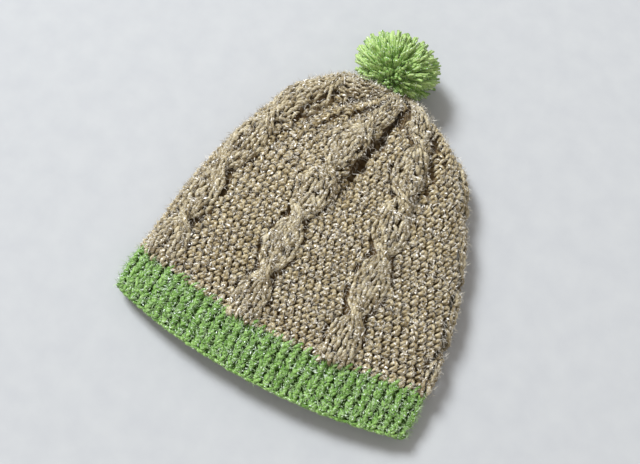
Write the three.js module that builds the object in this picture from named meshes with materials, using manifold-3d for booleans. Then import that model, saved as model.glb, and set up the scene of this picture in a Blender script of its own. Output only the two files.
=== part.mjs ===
// A crocheted pull-on cap with a ribbed brim, six cables and a pompom, lying flat on its back.
// Millimetres. +X runs across the cap, +Y from the brim to the pompom, +Z up from where it lies.
import * as THREE from 'three';
import { mergeVertices } from 'three/addons/utils/BufferGeometryUtils.js';
import Module from 'manifold-3d';

const wasm = await Module();
wasm.setup();

// Size of the cap as it lies
const CAP_LENGTH = 231.5; // along the front, from the brim's edge to the gathered top
const HALF_WIDTH = 109.5; // half of the flat width
const PUFF = 37; // height of the soft body where it is fullest
const ROUNDNESS = 2.4; // exponent of the section: 2 is an ellipse, more is boxier

// Fabric
const BODY_WALL = 4.5;
const BRIM_WALL = 4.5;
const BRIM_HEIGHT = 30;
const CLEARANCE = 0.3; // gap left between pieces that touch
const HOLLOW_TOP = 0.93; // share of the way up where the hollow closes

// Ribs of the brim
const RIB_COUNT = 66;
const RIB_RISE = 1.2;

// Cables and stitches of the body
const CABLE_COUNT = 6;
const CABLE_WIDTH = 27;
const CABLE_RISE = 4.2;
const CABLE_WAIST = 0.55; // width at a crossing, as a share of the full width
const ROUND_COUNT = 27; // rounds of stitches between the brim and the gathered top
const FIRST_CROSSING = 4.6; // the round that it is worked in
const CROSSING_STEP = 5.6; // rounds between crossings
const FIRST_CABLE = -0.058; // place around the cap, as a share of a turn from the front's middle
const CROWDING = 0.1; // how much closer the columns lie at the front's middle, as a share

// Gathers at the top
const GATHER_COUNT = 12;
const GATHER_DEPTH = 1.6;
const GATHER_START = 0.8; // share of the way up where they begin
const TOP_TAPER = 0.08; // share of the way up over which folds and cables run out at the top

// Pompom
const POMPOM_HALF = new THREE.Vector3(31.5, 24.5, 24); // half sizes across, along and up
const POMPOM_REACH = 22.5; // how far its middle lies ahead of the gathered top
const POMPOM_SIDE = -6.5; // and how far across from it
const LOCK_COUNT = 52;
const LOCK_RADIUS = 7;
const LOCK_TAPER = 0.7; // radius at a lock's end, as a share of its root
const LOCK_LIMIT = 0.7; // cosine of the angle to the crown within which no lock grows
const CORE_SHARE = 0.8; // size of the dense middle, as a share of the pompom
const SEAT_DIRECTION = new THREE.Vector3(0, -1, -0.1).normalize(); // from its middle to the crown

// How finely the surfaces are divided
const COLUMNS = 96;
const BRIM_COLUMNS = RIB_COUNT * 2;
const BRIM_ROWS = 3;
const BODY_ROWS = ROUND_COUNT;
const LINING_ROWS = 9;
const LOCK_SIDES = 5;
const CORE_SEGMENTS = [12, 8];
const MERGE_DISTANCE = 1e-4;

// Sections of the lying cap, from the brim's edge to the gathered top. up is the share of the way.
// reach, bow, back and tilt are shares of CAP_LENGTH: where the front's middle is, how far the
// sides lie ahead of it, how far the back lies ahead of the front, and how far the left side
// lies ahead of the right. width and shift are shares of HALF_WIDTH. middle, front and under are
// shares of PUFF: the height of the side folds, and the fullness above and below them. lean is
// how far the columns have drifted round, as a share of a turn.
const SECTION_COLUMNS = [
  'up', 'reach', 'bow', 'back', 'tilt', 'width', 'shift', 'middle', 'front', 'under', 'lean',
];
const SECTIONS = [
  [0, 0, 0.056, 0.02, 0.028, 1, -0.005, 0.23, 0.25, 0.28, 0],
  [0.065, 0.067, 0.058, 0.01, 0.028, 1.015, 0, 0.25, 0.28, 0.31, 0.0013],
  [0.13, 0.137, 0.06, 0, 0.028, 1, 0.01, 0.29, 0.33, 0.36, 0.0026],
  [0.25, 0.257, 0.063, 0, 0.028, 0.972, 0.028, 0.35, 0.44, 0.44, 0.005],
  [0.375, 0.382, 0.067, 0, 0.028, 0.938, 0.037, 0.385, 0.53, 0.49, 0.0075],
  [0.5, 0.508, 0.078, 0, 0.03, 0.868, 0.042, 0.4, 0.58, 0.51, 0.01],
  [0.625, 0.633, 0.097, 0.002, 0.035, 0.765, 0.05, 0.41, 0.6, 0.51, 0.0125],
  [0.75, 0.754, 0.112, 0.014, 0.039, 0.618, 0.067, 0.41, 0.6, 0.51, 0.0165],
  [0.84, 0.844, 0.1, 0.034, 0.039, 0.435, 0.075, 0.42, 0.56, 0.5, 0.042],
  [0.92, 0.922, 0.052, 0.06, 0.022, 0.262, 0.07, 0.44, 0.44, 0.45, 0.082],
  [0.97, 0.974, 0.013, 0.044, 0.009, 0.135, 0.065, 0.5, 0.27, 0.28, 0.112],
  [1, 1, 0, 0.02, 0, 0.035, 0.062, 0.6, 0.07, 0.07, 0.13],
].map((row) => Object.fromEntries(SECTION_COLUMNS.map((name, i) => [name, row[i]])));

// Folds pressed into the front. around is the place in stitch columns right of the first cable,
// at the fold's foot and at its head; foot and head are shares of the way up; depth is a share
// of PUFF and half a share of a turn. A fold reaches its full depth at FOLD_FULL of its length.
const STITCH_COLUMNS = 72;
const FOLD_FULL = 0.55;
const FOLD_COLUMNS = ['footAround', 'headAround', 'foot', 'head', 'depth', 'half'];
const FOLDS = [
  [2.7, 5.4, 0.42, 1.02, 0.3, 0.014], // the deep crease right of the first cable
  [13.6, 17.6, 0.5, 1.0, 0.18, 0.016], // the groove right of the second cable
  [-8.6, -8.0, 0.48, 0.96, 0.09, 0.016], // the groove right of the cable on the left side
  [-6.6, -2.6, 0.58, 0.98, 0.1, 0.018], // the shallow valley left of the first cable
].map((row) => Object.fromEntries(FOLD_COLUMNS.map((name, i) => [name, row[i]])));

const BRIM_SHARE = BRIM_HEIGHT / CAP_LENGTH;
const SEAM_SHARE = CLEARANCE / CAP_LENGTH / 2;

// A smooth curve through one named column of a table, read at the given share of the way up
function readColumn(table, name, up) {
  const last = table.length - 1;
  let i = 0;
  while (i < last - 1 && table[i + 1].up < up) i += 1;
  const slope = (k) => (table[k + 1][name] - table[k][name]) / (table[k + 1].up - table[k].up);
  const tangent = (k) => (k === 0 ? slope(0) : k === last ? slope(last - 1) : (slope(k - 1) + slope(k)) / 2);
  const span = table[i + 1].up - table[i].up;
  const s = Math.min(Math.max((up - table[i].up) / span, 0), 1);
  const rise = (3 - 2 * s) * s * s;
  const leave = s * (1 - s) * (1 - s);
  const arrive = s * s * (1 - s);
  return table[i][name] * (1 - rise) + table[i + 1][name] * rise
    + span * (tangent(i) * leave - tangent(i + 1) * arrive);
}

function readSection(up) {
  const lengths = { reach: CAP_LENGTH, bow: CAP_LENGTH, back: CAP_LENGTH, tilt: CAP_LENGTH };
  const widths = { width: HALF_WIDTH, shift: HALF_WIDTH };
  const heights = { middle: PUFF, front: PUFF, under: PUFF };
  const section = { lean: readColumn(SECTIONS, 'lean', up) };
  for (const [name, size] of Object.entries({ ...lengths, ...widths, ...heights })) {
    section[name] = readColumn(SECTIONS, name, up) * size;
  }
  return section;
}

// A point of the unit section: turn 0 is the middle of the front, a quarter turn is the right side
function unitSection(turn) {
  const across = Math.sin(turn);
  const height = Math.cos(turn);
  const power = 2 / ROUNDNESS;
  return {
    across: Math.sign(across) * Math.abs(across) ** power,
    height: Math.sign(height) * Math.abs(height) ** power,
  };
}

// Turns that space the columns evenly along the section's outline, as stitches are spaced
const TURN_STEPS = 360;
function evenTurns(section) {
  const lengths = [0];
  let before = null;
  for (let i = 0; i <= TURN_STEPS; i += 1) {
    const unit = unitSection((i / TURN_STEPS) * 2 * Math.PI);
    const fullness = unit.height > 0 ? section.front : section.under;
    const x = section.width * unit.across;
    const z = Math.max(section.middle + fullness * unit.height, 0);
    if (before) lengths.push(lengths[i - 1] + Math.hypot(x - before.x, z - before.z));
    before = { x, z };
  }
  return (share) => {
    const wanted = (share - Math.floor(share)) * lengths[TURN_STEPS];
    let low = 0;
    let high = TURN_STEPS;
    while (high - low > 1) {
      const half = Math.floor((low + high) / 2);
      if (lengths[half] <= wanted) low = half;
      else high = half;
    }
    const part = (wanted - lengths[low]) / (lengths[high] - lengths[low]);
    return ((low + part) / TURN_STEPS) * 2 * Math.PI;
  };
}

// Distance around the cap between two places, as a share of a turn, the short way
function gapAround(a, b) {
  const gap = a - b;
  return Math.abs(gap - Math.round(gap));
}

function runOut(up) {
  return Math.min((1 - up) / TOP_TAPER, 1);
}

// How far the folds and gathers press the fabric in
function pressedIn(around, up) {
  let depth = 0;
  for (const fold of FOLDS) {
    const along = Math.min(Math.max((up - fold.foot) / (fold.head - fold.foot), 0), 1);
    const columns = fold.footAround + (fold.headAround - fold.footAround) * along;
    const gap = gapAround(around, FIRST_CABLE + columns / STITCH_COLUMNS) / fold.half;
    const strength = Math.sin(Math.min(along / FOLD_FULL, 1) * Math.PI / 2) ** 2 * runOut(up);
    depth += fold.depth * PUFF * strength * Math.exp(-gap * gap);
  }
  const gathered = Math.min(Math.max((up - GATHER_START) / (1 - GATHER_START), 0), 1);
  const wave = 0.5 - 0.5 * Math.cos((around - FIRST_CABLE) * GATHER_COUNT * 2 * Math.PI);
  return depth + GATHER_DEPTH * wave * Math.sin(gathered * Math.PI);
}

// How far the cables stand out: lens shapes that narrow where the strands cross
function cableRise(around, up) {
  const round = ((up - BRIM_SHARE) / (1 - BRIM_SHARE)) * ROUND_COUNT;
  const phase = (round - FIRST_CROSSING) / CROSSING_STEP;
  const lens = CABLE_WAIST + (1 - CABLE_WAIST) * Math.abs(Math.sin(phase * Math.PI));
  const spacing = 1 / CABLE_COUNT;
  const step = (around - FIRST_CABLE) / spacing;
  const gap = Math.abs(step - Math.round(step)) * spacing;
  const half = (CABLE_WIDTH / 2 / (4 * HALF_WIDTH)) * lens;
  const swell = Math.max(1 - (gap / half) ** 2, 0);
  return CABLE_RISE * Math.sqrt(swell) * runOut(up);
}

function ribRise(around) {
  return RIB_RISE * Math.cos(around * RIB_COUNT * 2 * Math.PI);
}

// A point of the cap's surface, depth below the smooth outside
function surfacePoint(section, turn, depth) {
  const unit = unitSection(turn);
  const fullness = unit.height > 0 ? section.front : section.under;
  const across = (1 - depth / section.width) * unit.across;
  const height = (1 - depth / fullness) * unit.height;
  const x = section.shift + section.width * across;
  const y = section.reach + section.bow * across ** 2
    + section.back * (1 - height) / 2 - section.tilt * across;
  const z = section.middle + fullness * height;
  return new THREE.Vector3(x, y, z);
}

// One closed row of points around the cap. lowest is the height that the underside lies at.
function surfaceRow(up, columns, crowding, depthAt, lowest) {
  const section = readSection(up);
  const turnAt = evenTurns(section);
  const row = [];
  for (let j = 0; j < columns; j += 1) {
    const around = FIRST_CABLE + j / columns;
    const share = around + section.lean;
    const crowded = share - (crowding * Math.sin(share * 2 * Math.PI)) / (2 * Math.PI);
    const point = surfacePoint(section, turnAt(crowded), depthAt(around, up));
    point.z = Math.max(point.z, lowest);
    row.push(point);
  }
  return row;
}

function centreOf(row) {
  const sum = row.reduce((total, point) => total.add(point), new THREE.Vector3());
  return sum.divideScalar(row.length);
}

// Joins rows of equal length into faces. The faces look outward when the rows climb the outside.
class Skin {
  constructor() {
    this.corners = [];
  }

  triangle(a, b, c) {
    this.corners.push(a, b, c);
  }

  band(lower, upper) {
    const count = lower.length;
    for (let j = 0; j < count; j += 1) {
      const next = (j + 1) % count;
      this.triangle(lower[j], lower[next], upper[next]);
      this.triangle(lower[j], upper[next], upper[j]);
    }
  }

  bands(rows) {
    for (let i = 0; i + 1 < rows.length; i += 1) this.band(rows[i], rows[i + 1]);
  }

  cap(row, tip) {
    for (let j = 0; j < row.length; j += 1) this.triangle(row[j], row[(j + 1) % row.length], tip);
  }

  geometry() {
    const loose = new THREE.BufferGeometry().setFromPoints(this.corners);
    const merged = mergeVertices(loose, MERGE_DISTANCE);
    merged.computeVertexNormals();
    return merged;
  }
}

function evenSteps(from, to, count) {
  return Array.from({ length: count + 1 }, (_, i) => from + ((to - from) * i) / count);
}

// The body: a wall that follows the folds on both sides, closed at the gathered top
function crownOutside(extra) {
  const depthAt = (around, up) => pressedIn(around, up) - cableRise(around, up) - extra;
  const ups = evenSteps(BRIM_SHARE + SEAM_SHARE, 1, BODY_ROWS);
  return ups.map((up) => surfaceRow(up, COLUMNS, CROWDING, depthAt, -extra));
}

function crownGeometry() {
  const outside = crownOutside(0);
  const depthAt = (around, up) => pressedIn(around, up) + BODY_WALL;
  const ups = evenSteps(BRIM_SHARE + SEAM_SHARE, HOLLOW_TOP, LINING_ROWS);
  const liningRow = (up) => surfaceRow(up, COLUMNS, CROWDING, depthAt, BODY_WALL);
  const inside = ups.map(liningRow).reverse();
  const skin = new Skin();
  skin.bands(outside);
  skin.cap(outside[BODY_ROWS], centreOf(outside[BODY_ROWS]));
  const hollowTip = centreOf(inside[0]);
  skin.cap([...inside[0]].reverse(), hollowTip);
  skin.bands(inside);
  skin.band(inside[LINING_ROWS], outside[0]);
  return skin.geometry();
}

// The brim: an open ring, ribbed on the outside
function brimGeometry() {
  const top = BRIM_SHARE - SEAM_SHARE;
  const ups = evenSteps(0, top, BRIM_ROWS);
  const ribbed = (around) => -ribRise(around);
  const outside = ups.map((up) => surfaceRow(up, BRIM_COLUMNS, 0, ribbed, 0));
  const inside = [top, 0].map((up) => surfaceRow(up, BRIM_COLUMNS, 0, () => BRIM_WALL, BRIM_WALL));
  const skin = new Skin();
  skin.bands([...outside, ...inside, outside[0]]);
  return skin.geometry();
}

// Solids for the joins and cuts of the pompom
function solidOf(geometry) {
  const bare = geometry.clone();
  bare.deleteAttribute('normal');
  bare.deleteAttribute('uv');
  const merged = mergeVertices(bare, MERGE_DISTANCE);
  const vertProperties = new Float32Array(merged.attributes.position.array);
  const triVerts = new Uint32Array(merged.index.array);
  return new wasm.Manifold(new wasm.Mesh({ numProp: 3, vertProperties, triVerts }));
}

function geometryOf(solid) {
  const mesh = solid.getMesh();
  const geometry = new THREE.BufferGeometry();
  geometry.setAttribute('position', new THREE.BufferAttribute(mesh.vertProperties, 3));
  geometry.setIndex(new THREE.BufferAttribute(mesh.triVerts, 1));
  geometry.computeVertexNormals();
  return geometry;
}

// One lock of yarn ends, from the pompom's middle out to its surface
function lockGeometry(direction) {
  const reach = 1 / direction.clone().divide(POMPOM_HALF).length();
  const lock = new THREE.CylinderGeometry(LOCK_RADIUS * LOCK_TAPER, LOCK_RADIUS, reach, LOCK_SIDES);
  lock.translate(0, reach / 2, 0);
  lock.applyQuaternion(new THREE.Quaternion().setFromUnitVectors(new THREE.Vector3(0, 1, 0), direction));
  return lock;
}

// Directions spread evenly over a ball
function spreadDirections(count) {
  const golden = Math.PI * (3 - Math.sqrt(5));
  return Array.from({ length: count }, (_, i) => {
    const height = 1 - (2 * i + 1) / count;
    const radius = Math.sqrt(1 - height * height);
    return new THREE.Vector3(radius * Math.cos(golden * i), radius * Math.sin(golden * i), height);
  });
}

function pompomGeometry() {
  const top = readSection(1);
  const middle = new THREE.Vector3(top.shift + POMPOM_SIDE, top.reach + POMPOM_REACH, POMPOM_HALF.z);
  const core = new THREE.SphereGeometry(1, ...CORE_SEGMENTS);
  core.scale(...POMPOM_HALF.clone().multiplyScalar(CORE_SHARE).toArray());
  let ball = solidOf(core);
  for (const direction of spreadDirections(LOCK_COUNT)) {
    if (direction.dot(SEAT_DIRECTION) < LOCK_LIMIT) ball = ball.add(solidOf(lockGeometry(direction)));
  }
  const placed = solidOf(geometryOf(ball).translate(middle.x, middle.y, middle.z));
  const seat = new Skin();
  const outside = crownOutside(CLEARANCE);
  seat.bands(outside);
  seat.cap(outside[BODY_ROWS], centreOf(outside[BODY_ROWS]));
  seat.cap([...outside[0]].reverse(), centreOf(outside[0]));
  const above = new THREE.BoxGeometry(4 * HALF_WIDTH, 4 * CAP_LENGTH, 2 * PUFF);
  above.translate(0, CAP_LENGTH, PUFF);
  const crown = solidOf(seat.geometry());
  const ahead = crown.translate([0, CLEARANCE, CLEARANCE]);
  const seated = placed.subtract(crown).subtract(ahead).intersect(solidOf(above));
  const [largest] = seated.decompose().sort((a, b) => b.volume() - a.volume());
  return geometryOf(largest);
}

function piece(name, geometry, colour) {
  const material = new THREE.MeshStandardMaterial({ color: colour, roughness: 0.95, metalness: 0 });
  const mesh = new THREE.Mesh(geometry, material);
  mesh.name = name;
  return mesh;
}

const cap = new THREE.Group();
cap.add(piece('crown', crownGeometry(), '#9d937c'));
cap.add(piece('brim', brimGeometry(), '#79955e'));
cap.add(piece('pompom', pompomGeometry(), '#7c9955'));

// The origin is the middle of the lying cap, on the surface that it lies on
const box = new THREE.Box3().setFromObject(cap);
const centre = box.getCenter(new THREE.Vector3());
cap.position.set(-centre.x, -centre.y, 0);

export default cap;
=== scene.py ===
"""A crocheted bobble cap lying flat: yarn stitches, cables, a ribbed brim and a pompom on the CAD frame.

Everything is in metres in the row frame. The cap's surface repeats the one that the CAD part was
made from: a place on it is a share of a turn around the cap, a share of the way up from the
brim's edge to the gathered top, and a height above the smooth outside.
"""
import math

import bmesh
import bpy
import numpy as np
from mathutils import Matrix, Vector


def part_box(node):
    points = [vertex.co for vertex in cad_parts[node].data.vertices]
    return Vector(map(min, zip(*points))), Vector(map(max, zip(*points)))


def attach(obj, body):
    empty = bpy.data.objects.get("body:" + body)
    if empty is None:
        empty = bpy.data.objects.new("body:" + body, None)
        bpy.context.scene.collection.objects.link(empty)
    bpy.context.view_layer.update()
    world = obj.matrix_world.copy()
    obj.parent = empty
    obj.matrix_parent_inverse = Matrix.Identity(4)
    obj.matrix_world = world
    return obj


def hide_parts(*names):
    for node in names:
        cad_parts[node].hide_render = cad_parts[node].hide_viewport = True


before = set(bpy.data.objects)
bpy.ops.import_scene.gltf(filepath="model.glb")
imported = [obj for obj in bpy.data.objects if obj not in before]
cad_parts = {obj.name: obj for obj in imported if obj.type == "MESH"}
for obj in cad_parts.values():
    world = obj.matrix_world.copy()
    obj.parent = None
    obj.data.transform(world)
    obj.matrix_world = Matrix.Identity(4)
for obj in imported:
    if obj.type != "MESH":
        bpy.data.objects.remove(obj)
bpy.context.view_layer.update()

MM = 0.001
TURN = 2 * math.pi
rng = np.random.default_rng(20)

# Size of the cap as it lies, as in the CAD part
CAP_LENGTH = 231.5 * MM
HALF_WIDTH = 109.5 * MM
PUFF = 37 * MM
ROUNDNESS = 2.4
WALL = 4.5 * MM
BRIM_HEIGHT = 30 * MM
HOLLOW_TOP = 0.93
RIB_COUNT = 66
RIB_RISE = 1.2 * MM
CABLE_COUNT = 6
CABLE_WIDTH = 27 * MM
CABLE_RISE = 4.2 * MM
CABLE_WAIST = 0.55
ROUND_COUNT = 27
FIRST_CROSSING = 4.6
CROSSING_STEP = 5.6
FIRST_CABLE = -0.058
CROWDING = 0.1
GATHER_COUNT = 12
GATHER_DEPTH = 1.6 * MM
GATHER_START = 0.8
TOP_TAPER = 0.08
STITCH_COLUMNS = 72
FOLD_FULL = 0.55
BRIM_SHARE = BRIM_HEIGHT / CAP_LENGTH
POMPOM_HALF = np.array([31.5, 24.5, 24]) * MM
POMPOM_REACH = 22.5 * MM
POMPOM_SIDE = -6.5 * MM

SECTION_COLUMNS = ("up", "reach", "bow", "back", "tilt", "width", "shift", "middle", "front", "under", "lean")
SECTIONS = np.array([
    (0, 0, 0.056, 0.02, 0.028, 1, -0.005, 0.23, 0.25, 0.28, 0),
    (0.065, 0.067, 0.058, 0.01, 0.028, 1.015, 0, 0.25, 0.28, 0.31, 0.0013),
    (0.13, 0.137, 0.06, 0, 0.028, 1, 0.01, 0.29, 0.33, 0.36, 0.0026),
    (0.25, 0.257, 0.063, 0, 0.028, 0.972, 0.028, 0.35, 0.44, 0.44, 0.005),
    (0.375, 0.382, 0.067, 0, 0.028, 0.938, 0.037, 0.385, 0.53, 0.49, 0.0075),
    (0.5, 0.508, 0.078, 0, 0.03, 0.868, 0.042, 0.4, 0.58, 0.51, 0.01),
    (0.625, 0.633, 0.097, 0.002, 0.035, 0.765, 0.05, 0.41, 0.6, 0.51, 0.0125),
    (0.75, 0.754, 0.112, 0.014, 0.039, 0.618, 0.067, 0.41, 0.6, 0.51, 0.0165),
    (0.84, 0.844, 0.1, 0.034, 0.039, 0.435, 0.075, 0.42, 0.56, 0.5, 0.042),
    (0.92, 0.922, 0.052, 0.06, 0.022, 0.262, 0.07, 0.44, 0.44, 0.45, 0.082),
    (0.97, 0.974, 0.013, 0.044, 0.009, 0.135, 0.065, 0.5, 0.27, 0.28, 0.112),
    (1, 1, 0, 0.02, 0, 0.035, 0.062, 0.6, 0.07, 0.07, 0.13),
])
SECTION_SIZES = {
    "reach": CAP_LENGTH, "bow": CAP_LENGTH, "back": CAP_LENGTH, "tilt": CAP_LENGTH,
    "width": HALF_WIDTH, "shift": HALF_WIDTH,
    "middle": PUFF, "front": PUFF, "under": PUFF, "lean": 1,
}
# Columns: foot around and head around in stitch columns from the first cable, foot and head as
# shares of the way up, depth as a share of PUFF, half width as a share of a turn
FOLDS = (
    (2.7, 5.4, 0.42, 1.02, 0.3, 0.014),
    (13.6, 17.6, 0.5, 1.0, 0.18, 0.016),
    (-8.6, -8.0, 0.48, 0.96, 0.09, 0.016),
    (-6.6, -2.6, 0.58, 0.98, 0.1, 0.018),
)


# The cap's surface

def read_column(name, up):
    """A smooth curve through one column of SECTIONS."""
    ups = SECTIONS[:, 0]
    values = SECTIONS[:, SECTION_COLUMNS.index(name)] * SECTION_SIZES[name]
    slopes = np.diff(values) / np.diff(ups)
    tangents = np.concatenate([slopes[:1], (slopes[:-1] + slopes[1:]) / 2, slopes[-1:]])
    i = np.clip(np.searchsorted(ups, up) - 1, 0, len(ups) - 2)
    span = ups[i + 1] - ups[i]
    s = np.clip((up - ups[i]) / span, 0, 1)
    rise = (3 - 2 * s) * s * s
    return (values[i] * (1 - rise) + values[i + 1] * rise
            + span * (tangents[i] * s * (1 - s) ** 2 - tangents[i + 1] * s * s * (1 - s)))


def read_section(up):
    return {name: read_column(name, up) for name in SECTION_SIZES}


def unit_section(turn):
    """Across and height of the unit section. Turn 0 is the front's middle."""
    across, height = np.sin(turn), np.cos(turn)
    power = 2 / ROUNDNESS
    return np.sign(across) * np.abs(across) ** power, np.sign(height) * np.abs(height) ** power


# For each share of the way up, the turn at each even share of the section's outline
UP_STEPS, SHARE_STEPS, TURN_STEPS = 400, 720, 360


def make_turn_table():
    section = read_section(np.linspace(0, 1, UP_STEPS + 1))
    turns = np.linspace(0, TURN, TURN_STEPS + 1)
    across, height = unit_section(turns)
    fullness = np.where(height > 0, section["front"][:, None], section["under"][:, None])
    x = section["width"][:, None] * across
    z = np.maximum(section["middle"][:, None] + fullness * height, 0)
    steps = np.hypot(np.diff(x, axis=1), np.diff(z, axis=1))
    lengths = np.concatenate([np.zeros((UP_STEPS + 1, 1)), np.cumsum(steps, axis=1)], axis=1)
    shares = np.linspace(0, 1, SHARE_STEPS + 1)
    table = np.array([np.interp(shares, row / row[-1], turns) for row in lengths])
    return table, lengths[:, -1]


TURN_TABLE, PERIMETERS = make_turn_table()


def perimeter(up):
    return np.interp(up, np.linspace(0, 1, UP_STEPS + 1), PERIMETERS)


def turn_at(share, up):
    a = (share - np.floor(share)) * SHARE_STEPS
    j = np.clip(a.astype(int), 0, SHARE_STEPS - 1)
    b = np.clip(up, 0, 1) * UP_STEPS
    i = np.clip(b.astype(int), 0, UP_STEPS - 1)
    g, f = a - j, b - i
    return ((TURN_TABLE[i, j] * (1 - g) + TURN_TABLE[i, j + 1] * g) * (1 - f)
            + (TURN_TABLE[i + 1, j] * (1 - g) + TURN_TABLE[i + 1, j + 1] * g) * f)


def gap_around(a, b):
    gap = a - b
    return gap - np.round(gap)


def run_out(up):
    return np.clip((1 - up) / TOP_TAPER, 0, 1)


def pressed_in(around, up):
    """How far the folds and gathers press the fabric in."""
    depth = np.zeros(np.broadcast(around, up).shape)
    for foot_around, head_around, foot, head, deep, half in FOLDS:
        along = np.clip((up - foot) / (head - foot), 0, 1)
        columns = foot_around + (head_around - foot_around) * along
        gap = gap_around(around, FIRST_CABLE + columns / STITCH_COLUMNS) / half
        strength = np.sin(np.minimum(along / FOLD_FULL, 1) * math.pi / 2) ** 2 * run_out(up)
        depth = depth + deep * PUFF * strength * np.exp(-gap * gap)
    gathered = np.clip((up - GATHER_START) / (1 - GATHER_START), 0, 1)
    wave = 0.5 - 0.5 * np.cos((around - FIRST_CABLE) * GATHER_COUNT * TURN)
    return depth + GATHER_DEPTH * wave * np.sin(gathered * math.pi)


def part_point(around, up, depth, crowding, lowest):
    """A point of the surface in the part's own place, depth below the smooth outside."""
    section = read_section(up)
    share = around + section["lean"]
    crowded = share - crowding * np.sin(share * TURN) / TURN
    unit_across, unit_height = unit_section(turn_at(crowded, up))
    fullness = np.where(unit_height > 0, section["front"], section["under"])
    across = (1 - depth / section["width"]) * unit_across
    height = (1 - depth / fullness) * unit_height
    x = section["shift"] + section["width"] * across
    y = (section["reach"] + section["bow"] * across ** 2
         + section["back"] * (1 - height) / 2 - section["tilt"] * across)
    z = np.maximum(section["middle"] + fullness * height, lowest)
    return np.stack([x, y, z], -1)


def find_place():
    """Where the part's own origin lies in the row frame, from the brim's box."""
    around = FIRST_CABLE + np.arange(2 * RIB_COUNT) / (2 * RIB_COUNT)
    depth = -RIB_RISE * np.cos(around * RIB_COUNT * TURN)
    own = np.concatenate([part_point(around, np.full_like(around, up), depth, 0, 0)
                          for up in np.linspace(0, BRIM_SHARE, 4)])
    low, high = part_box("brim")
    own_middle = (own.min(0) + own.max(0)) / 2
    place = (np.array(low) + np.array(high)) / 2 - own_middle
    place[2] = 0
    return place


PLACE = find_place()


# Sizes of stitches and yarn, which the CAD part doesn't have
STITCH_WIDTH = 6.1 * MM
STITCH_HEIGHT = 7.4 * MM
YARN = 1.22 * MM
YARN_FLATNESS = 0.9
TUBE_SIDES = 5
# Where a fold is pressed in this deep its two walls meet and hide the stitches
SHUT_DEPTH = 8.0 * MM
# No point of a piece lies lower than these, for a strand's middle and for its skin
FLOOR_GAP = 0.15 * MM
SKIN_GAP = FLOOR_GAP / 3
# Shares of a turn and of the way up, for the slopes that give the normals
NORMAL_STEP = 0.002
# Strands end this share of the way up, just short of the gathered point
TOP_END = 0.9995
SECTOR = 1 / CABLE_COUNT


def unit_rows(v):
    return v / np.maximum(np.linalg.norm(v, axis=-1, keepdims=True), 1e-12)


def rounds_to_up(rounds):
    return BRIM_SHARE + (1 - BRIM_SHARE) * rounds / ROUND_COUNT


def cable_gap(around):
    """Distance from the middle of the nearest cable, in turns."""
    return np.abs((around - FIRST_CABLE + SECTOR / 2) % SECTOR - SECTOR / 2)


class Fabric:
    """The outside of one part of the cap. lowest is the height of its lowest smooth point."""

    def __init__(self, crowding, lowest):
        self.crowding = crowding
        self.lowest = lowest

    def base(self, around, up):
        depth = pressed_in(around, up)
        return part_point(around, up, depth, self.crowding, self.lowest) + PLACE

    def frame(self, around, up):
        """Points and outward normals."""
        point = self.base(around, up)
        side = self.base(around + NORMAL_STEP, up) - self.base(around - NORMAL_STEP, up)
        low, high = np.clip(up - NORMAL_STEP, 0, 1), np.clip(up + NORMAL_STEP, 0, 1)
        climb = self.base(around, high) - self.base(around, low)
        normal = unit_rows(np.cross(side, climb))
        return point, normal

    def at(self, around, up, out):
        """Points at a height above the smooth outside, never under the floor."""
        around, up, out = np.broadcast_arrays(
            np.asarray(around, float), np.asarray(up, float), np.asarray(out, float))
        point, normal = self.frame(around, up)
        point = point + normal * out[..., None]
        point[..., 2] = np.maximum(point[..., 2], FLOOR_GAP)
        return point, normal


CROWN = Fabric(CROWDING, 1.0 * MM)
BRIM = Fabric(0.0, 1.3 * MM)


# Meshes from arrays

def add_object(name, data):
    made = bpy.data.objects.new(name, data)
    bpy.context.scene.collection.objects.link(made)
    return made


def make_object(name, vertices, face_sets, uvs=None, tint=None, smooth=True):
    """One mesh object. face_sets are arrays of faces, each with one number of corners."""
    mesh = bpy.data.meshes.new(name)
    loops = np.concatenate([faces.ravel() for faces in face_sets])
    totals = np.concatenate([np.full(len(faces), faces.shape[1]) for faces in face_sets])
    starts = np.concatenate([[0], np.cumsum(totals)[:-1]])
    mesh.vertices.add(len(vertices))
    mesh.vertices.foreach_set("co", np.ascontiguousarray(vertices, np.float32).ravel())
    mesh.loops.add(len(loops))
    mesh.loops.foreach_set("vertex_index", loops.astype(np.int32))
    mesh.polygons.add(len(totals))
    mesh.polygons.foreach_set("loop_start", starts.astype(np.int32))
    mesh.update(calc_edges=True)
    mesh.polygons.foreach_set("use_smooth", np.full(len(totals), smooth))
    if uvs is not None:
        layer = mesh.uv_layers.new(name="yarn")
        layer.data.foreach_set("uv", np.ascontiguousarray(uvs, np.float32).ravel())
    if tint is not None:
        attribute = mesh.attributes.new(name="tint", type="FLOAT", domain="POINT")
        attribute.data.foreach_set("value", np.ascontiguousarray(tint, np.float32))
    mesh.validate()
    return add_object(name, mesh)


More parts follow.
